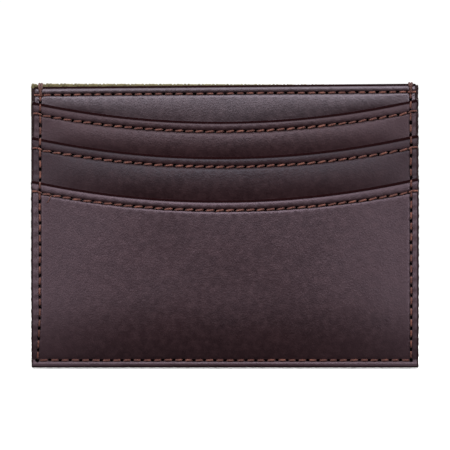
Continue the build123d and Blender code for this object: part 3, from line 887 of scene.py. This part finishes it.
def twill(x, s):
    """Relief of a herringbone twill, which yarn is on top, and how high it stands, 0 to 1."""
    across, up = np.floor(x / YARN), np.floor(s / YARN)
    off_x, off_s = x / YARN - across - 0.5, s / YARN - up - 0.5
    way = np.where(np.floor(across / HERRINGBONE) % 2 < 1, 1, -1)
    warp_on_top = (across * way + up) % 4 < 2
    crown = np.where(warp_on_top, 1 - (2 * off_x) ** 2 * 0.8, 1 - (2 * off_s) ** 2 * 0.8)
    wander = 0.5 + 0.5 * np.sin(across * 12.9898 + up * 78.233 + 3.1 * np.sin(across * 4.1 - up * 1.7))
    return crown * (0.8 + 0.2 * wander), warp_on_top.astype(float) * 0.6 + 0.4 * wander


def cloth_seam_pinch(x, z):
    """0 to 1 for how near a seam in the back is."""
    pinch = bell(z - BACK_SEAM, 0.55) + bell(z - BOTTOM_SEAM, 0.55) * (np.abs(x) < SEAM_X + 0.3)
    for side in SIDES:
        pinch = np.maximum(pinch, bell(x - side_x(side, z), 0.55) * (z > BOTTOM_SEAM - 0.4))
    return np.clip(pinch, 0, 1)


def cloth_piece():
    """The cloth as rings: up its inside and its turned-in hem, over the top, down its back."""
    half = CLOTH_HIGH[0] - 0.25
    back = CLOTH_HIGH[1]
    x = np.linspace(-half, half, round(2 * half / CLOTH_STEP) + 1)[:, None]
    top = CLOTH_HIGH[2] - 0.10 - CLOTH_TILT * (x / PANEL_HALF)
    top = top - 0.45 * bell(np.abs(x) - SEAM_X, 0.8)  # pulled down by the tacks
    low = CLOTH_LOW[2] + 0.15
    inner, hem = back - CLOTH_THICK, back - CLOTH_THICK - CLOTH_HEM

    def run(y, start, end, count):
        share = np.linspace(0, 1, count)[None, :]
        z = start * (1 - share) + end * share
        return np.broadcast_to(y, z.shape).copy(), z

    base = np.full_like(x, low)
    fold = np.full_like(x, CLOTH_FOLD)
    inner_y, inner_z = run(inner, base, fold, 9)
    hem_y, hem_z = run(hem, fold, fold + 5.5, 3)
    edge_y, edge_z = run(hem, fold + 5.6, top - CLOTH_ROLL, 8)
    turn = np.linspace(0, pi, 10)[None, 1:-1]
    roll_y = hem + CLOTH_ROLL - CLOTH_ROLL * np.cos(turn) + 0 * x
    roll_z = top - CLOTH_ROLL + CLOTH_ROLL * np.sin(turn)
    outer_y, outer_z = run(back, top - CLOTH_ROLL, base, round((CLOTH_HIGH[2] - low) / CLOTH_STEP))
    y = np.concatenate([inner_y, hem_y, edge_y, roll_y, outer_y], axis=1)
    z = np.concatenate([inner_z, hem_z, edge_z, roll_z, outer_z], axis=1)
    x = np.broadcast_to(x, y.shape).copy()

    step = np.hypot(np.diff(y, axis=1), np.diff(z, axis=1))
    run_length = np.concatenate([np.zeros((len(y), 1)), np.cumsum(step, axis=1)], axis=1)
    relief, yarn = twill(x + half, run_length)
    pinch = cloth_seam_pinch(x, z)
    raised = BACK_RELIEF * relief - BACK_RELIEF
    fold_rise = FOLD_RELIEF * relief - FOLD_SINK
    plain = inner_y.shape[1] + hem_y.shape[1]
    shown = np.zeros(y.shape[1])
    shown[plain:] = 1
    edge_end = plain + edge_y.shape[1]
    roll_end = edge_end + roll_y.shape[1]
    out_y, out_z = np.zeros(y.shape), np.zeros(y.shape)
    out_y[:, plain:edge_end] = -1
    out_y[:, edge_end:roll_end] = -np.cos(turn)
    out_z[:, edge_end:roll_end] = np.sin(turn)
    out_y[:, roll_end:] = 1
    hollow = np.zeros(y.shape)
    hollow[:, roll_end:] = pinch[:, roll_end:] * PINCH
    hollow[:, roll_end:] += 0.35 * rounding(x[:, roll_end:], half, 0.9)
    y += out_y * (raised * shown - hollow)
    z += out_z * fold_rise * shown
    frayed = np.clip((np.abs(x) - (half - FRAY)) / FRAY, 0, 1)
    x += np.sign(x) * frayed * (0.14 * relief - 0.10) - CLOTH_SHIFT
    rings = np.stack([x, y, z], axis=-1)
    # crown drops along the seams on the back, so the colour there gets the painted shade of a hollow.
    crown = relief * (1 - 0.8 * (pinch * (out_y > 0.5)))
    return loft("cloth_back", rings, CLOTH, {"yarn": yarn, "crown": crown})


cloth = cloth_piece()
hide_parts("back_panel_cloth")


def on_back(holes):
    """Holes as points in the back, where its seams lie sunk in the cloth."""
    y = np.full(len(holes), CLOTH_HIGH[1] - 0.28)
    return np.stack([holes[:, 0], y, holes[:, 1]], axis=1)


def back_seam(name, node, rows):
    """A seam of the back through rows of holes."""
    tubes = []
    for row in rows:
        tubes += sew(on_back(row), BACKWARDS, 0.10, 0.7, PLY, 0.05, 0.84)
    thread_piece(name, tubes, THREAD, node)


back_row = straight_holes(lambda x: np.full_like(x, BACK_SEAM), SEAM_X - CROSSING)
outer_left = np.array([[-PANEL_HALF + 0.1, BACK_SEAM], [-SEAM_X - 0.5, BACK_SEAM]])
outer_right = outer_left * (-1, 1)
back_seam("back_top_seam", "back_top_seam_thread", [back_row, outer_left, outer_right])
side_rows = []
for side in SIDES:
    # A panel's last hole is beside the next one's first, so it is left out below the top panel
    runs = [SIDE_ROWS[side, name][:-1] for name in ("lower", "middle", "upper")]
    side_rows.append(np.concatenate([*runs, SIDE_ROWS[side, "base"]]))
back_seam("perimeter_back_seam", "perimeter_back_thread", [BOTTOM_ROW, *side_rows])


# -------------------- corner tacks


TACK_PLY = 0.31  # radius of a strand of a tack
TACK_TURNS = 6.0
TACK_SMOOTHINGS = 6


def tack_piece(side):
    """Two strands that cross over the top edge, from the front needle hole to the back one."""
    tubes = []
    front = BASE.front
    back = CLOTH_HIGH[1]
    top = TACK_HIGH[2]
    hole_z = SIDE_ROWS[side, "base"][-1][1]
    lip = BASE.lip(np.array([side * SEAM_X]))[0]
    middle = side_x(side, np.array([70.0]))[0]
    for lean in (-1, 1):
        route = np.array([
            [middle - lean * 0.10, front + 0.45, hole_z],
            [middle - lean * 0.16, front - 0.02, hole_z + 0.25],
            [middle, front - 0.14, (hole_z + lip) / 2],
            [middle + lean * 0.30, front - 0.07, lip - 0.35],
            [middle + lean * 0.32, front + 0.55, lip + 0.22],
            [middle + lean * 0.31, front + 1.3, top - 0.48],
            [middle + lean * 0.30, (front + back) / 2 + 0.6, top - 0.46],
            [middle + lean * 0.28, back - 0.35, top - 0.52],
            [middle + lean * 0.18, back - 0.10, top - 1.2],
            [middle, back - 0.14, (hole_z + lip) / 2],
            [middle - lean * 0.10, back - 0.55, hole_z],
        ])
        count = 8 * (len(route) - 1) + 1
        share = np.linspace(0, len(route) - 1, count)
        path = np.stack([np.interp(share, range(len(route)), route[:, axis]) for axis in range(3)], axis=1)
        for _ in range(TACK_SMOOTHINGS):
            path[1:-1] = path[1:-1] * 0.5 + (path[2:] + path[:-2]) * 0.25
        path[:, 1] += 0.04 * lean
        tubes += twisted(path, TACK_PLY, TACK_TURNS, 0.3 + 0.2 * lean)
    thread_piece(f"{SIDES[side]}_tack", tubes, TACK, f"{SIDES[side]}_corner_tack")


for side in SIDES:
    tack_piece(side)


# -------------------- edge paint

# Depths of the lines between the layers, from the back of the paint
LAYER_LINES = [0.5, 0.65, 1.15, 1.3, 2.0, 2.1, 2.6, 3.3, 3.4, 3.9, 4.6, 4.7, 5.2]


GROOVE_WIDTH = 0.07


def step_up(z, height):
    """0 below a height and 1 above it, with a short round shoulder."""
    part = np.clip((z - height) / 0.5 + 0.5, 0, 1)
    return part**2 * (3 - 2 * part)


def side_bead(side):
    """Paint over the stacked cut edges of one side, stepping down at every mouth."""
    name = SIDES[side]
    low = corners(f"{name}_edge_coating")[0]
    at_edge = np.array([side * PANEL_HALF])
    z = np.linspace(low[2] - 0.2, BASE.lip(at_edge)[0] - 0.35, 260)
    front = LOWER.face(z)
    half = np.full_like(z, LOWER.half)
    for panel, upper in ((LOWER, MIDDLE), (MIDDLE, UPPER), (UPPER, BASE)):
        share = step_up(z, panel.lip(at_edge)[0] - 0.15)
        front = front * (1 - share) + upper.front * share
        half = half * (1 - share) + upper.half * share
    back = np.full_like(z, CLOTH_HIGH[1] - CLOTH_THICK + 0.12)
    share = np.linspace(0, 1, 44)[None, :]
    y = back[:, None] * (1 - share) + (front[:, None] + 0.16) * share
    depth = back[:, None] - y
    grooves = sum(bell(depth - line, GROOVE_WIDTH) for line in LAYER_LINES)
    thickness = (EDGE_HALF - PANEL_HALF) * (1 - 0.9 * np.abs(2 * share - 1) ** 9)
    wander = 0.04 * np.sin(z * 1.9 + side) + 0.03 * np.sin(z * 4.3)
    corner = rounding(np.clip(BOTTOM_SEAM - z, 0, None), BOTTOM_SEAM, 0.6)
    # The tapes, linings and board reach further out than the upper panels
    behind = np.clip((y - front[:, None] - THICK + 0.3) / 0.3, 0, 1)
    reach = half[:, None] + np.clip(PANEL_HALF - 0.02 - half[:, None], 0, None) * behind
    out = reach + thickness - 0.07 * grooves + wander[:, None] - 0.4 * corner[:, None] - 0.02
    inner = np.broadcast_to(half[:, None] - 0.1, (len(z), 2))
    inner_y = np.stack([y[:, -1], y[:, 0]], axis=1)
    ring_x = side * np.concatenate([out, inner], axis=1)
    ring_y = np.concatenate([y, inner_y], axis=1)
    ring_z = np.broadcast_to(z[:, None], ring_x.shape)
    rings = np.stack([ring_x, ring_y, ring_z], axis=-1)
    if side < 0:
        rings = rings[:, ::-1]  # keeps the faces outwards
    piece = loft(f"{name}_edge_paint", rings, PAINT)
    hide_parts(f"{name}_edge_coating")


def bottom_bead():
    """Paint over the stacked cut edges of the bottom."""
    low, high = corners("bottom_edge_coating")
    x = np.linspace(-PANEL_HALF - 0.02, PANEL_HALF + 0.02, 300)[:, None]
    share = np.linspace(0, 1, 30)[None, :]
    y = high[1] * (1 - share) + (low[1] + 0.10) * share + 0 * x
    depth = high[1] - y
    grooves = sum(bell(depth - line, GROOVE_WIDTH) for line in LAYER_LINES)
    z = 0.03 * np.sin(x * 1.3) ** 2 + 0.06 * grooves + 0.12 * np.abs(2 * share - 1) ** 9
    top_y = np.stack([y[:, -1], y[:, 0]], axis=1)
    top_z = np.full_like(top_y, high[2] + 0.1)
    ring_y = np.concatenate([y, top_y], axis=1)
    ring_z = np.concatenate([z, top_z], axis=1)
    rings = np.stack([np.broadcast_to(x, ring_y.shape), ring_y, ring_z], axis=-1)
    piece = loft("bottom_edge_paint", rings, PAINT)
    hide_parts("bottom_edge_coating")


for side in SIDES:
    side_bead(side)
bottom_bead()


# -------------------- hidden layers

# CAD nodes that stay, with a better material
CARRIED = {
    "back_stiffener_board": BOARD,
    "top_edge_tape": TAPE,
    "upper_pocket_floor_thread": THREAD,
    "middle_pocket_floor_thread": THREAD,
}
LININGS = ["main_pocket_back_lining", "main_pocket_front_lining"]
LININGS += [f"{name}_pocket_lining" for name in POCKETS]
for node in LININGS:
    CARRIED[node] = LINING
    low, high = corners(node)
for name in POCKETS:
    CARRIED[f"{name}_mouth_tape"] = TAPE
for node, material in CARRIED.items():
    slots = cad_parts[node].data.materials
    slots.clear()
    slots.append(material)


# -------------------- studio


FLOOR_RADIUS, FLOOR_Z, FLOOR_POINTS = 4.0, -0.0002, 96
WORLD_RAMP = {"From Min": -0.25, "From Max": 0.75, "To Min": 0.05, "To Max": 1.35}
LIT_POINT = Vector((0.0, 0.0, 0.037))
BACKDROP = 1.05  # strength of the world where the camera sees it


def floor_piece():
    """A round floor that neither lights the object nor shows in it."""
    turn = np.linspace(0, 2 * pi, FLOOR_POINTS, endpoint=False)
    height = np.full(FLOOR_POINTS, FLOOR_Z)
    ring = np.stack([FLOOR_RADIUS * np.cos(turn), FLOOR_RADIUS * np.sin(turn), height], axis=1)
    mesh = bpy.data.meshes.new("studio_floor")
    mesh.from_pydata(ring.tolist(), [], [list(range(FLOOR_POINTS))])
    mesh.materials.append(floor_finish())
    floor = bpy.data.objects.new("studio_floor", mesh)
    bpy.context.scene.collection.objects.link(floor)
    floor.visible_glossy = False
    floor.visible_diffuse = False


def world_light():
    """White light, brighter from above than from below."""
    world = bpy.data.worlds.new("studio")
    bpy.context.scene.world = world
    world.use_nodes = True
    tree = world.node_tree
    ground = tree.nodes["Background"]
    direction = tree.nodes.new("ShaderNodeTexCoord").outputs["Generated"]
    split = tree.nodes.new("ShaderNodeSeparateXYZ")
    tree.links.new(direction, split.inputs[0])
    ramp = tree.nodes.new("ShaderNodeMapRange")
    for key, value in WORLD_RAMP.items():
        ramp.inputs[key].default_value = value
    tree.links.new(split.outputs["Z"], ramp.inputs["Value"])
    seen = tree.nodes.new("ShaderNodeMix")
    seen.inputs[3].default_value = BACKDROP
    tree.links.new(tree.nodes.new("ShaderNodeLightPath").outputs["Is Camera Ray"], seen.inputs[0])
    tree.links.new(ramp.outputs["Result"], seen.inputs[2])
    tree.links.new(seen.outputs[0], ground.inputs["Strength"])
    ground.inputs["Color"].default_value = rgb(1.0, 1.0, 1.0)


def softbox(name, place, width, height, power, colour):
    """A soft light that faces the object."""
    data = bpy.data.lights.new(name, "AREA")
    data.shape = "RECTANGLE"
    data.size, data.size_y = width, height
    data.energy = power
    data.color = colour
    lamp = bpy.data.objects.new(name, data)
    bpy.context.scene.collection.objects.link(lamp)
    lamp.location = place
    lamp.rotation_euler = (LIT_POINT - Vector(place)).to_track_quat("-Z", "Y").to_euler()


def camera():
    data = bpy.data.cameras.new("camera")
    data.lens = 366.0
    data.sensor_width = 36.0
    data.clip_start = 0.05
    data.clip_end = 20.0
    made = bpy.data.objects.new("camera", data)
    made.location = (0.0, -1.2, 0.03745)
    made.rotation_euler = (pi / 2, 0.0, 0.0)
    bpy.context.scene.collection.objects.link(made)
    bpy.context.scene.camera = made


floor_piece()
world_light()
softbox("key", (0.0, -0.85, 0.55), 0.9, 0.35, 4.2, (1.0, 0.985, 1.0))
softbox("top", (0.0, 0.05, 0.9), 0.9, 0.6, 4.0, (1.0, 1.0, 1.0))
softbox("back", (0.3, 0.95, 0.6), 0.9, 0.6, 5.0, (1.0, 0.99, 0.97))
for side in SIDES:
    softbox("side", (side * 0.62, -0.92, 0.22), 0.26, 0.8, 3.6, (1.0, 0.985, 1.0))
camera()
bpy.context.scene.view_settings.view_transform = "Standard"
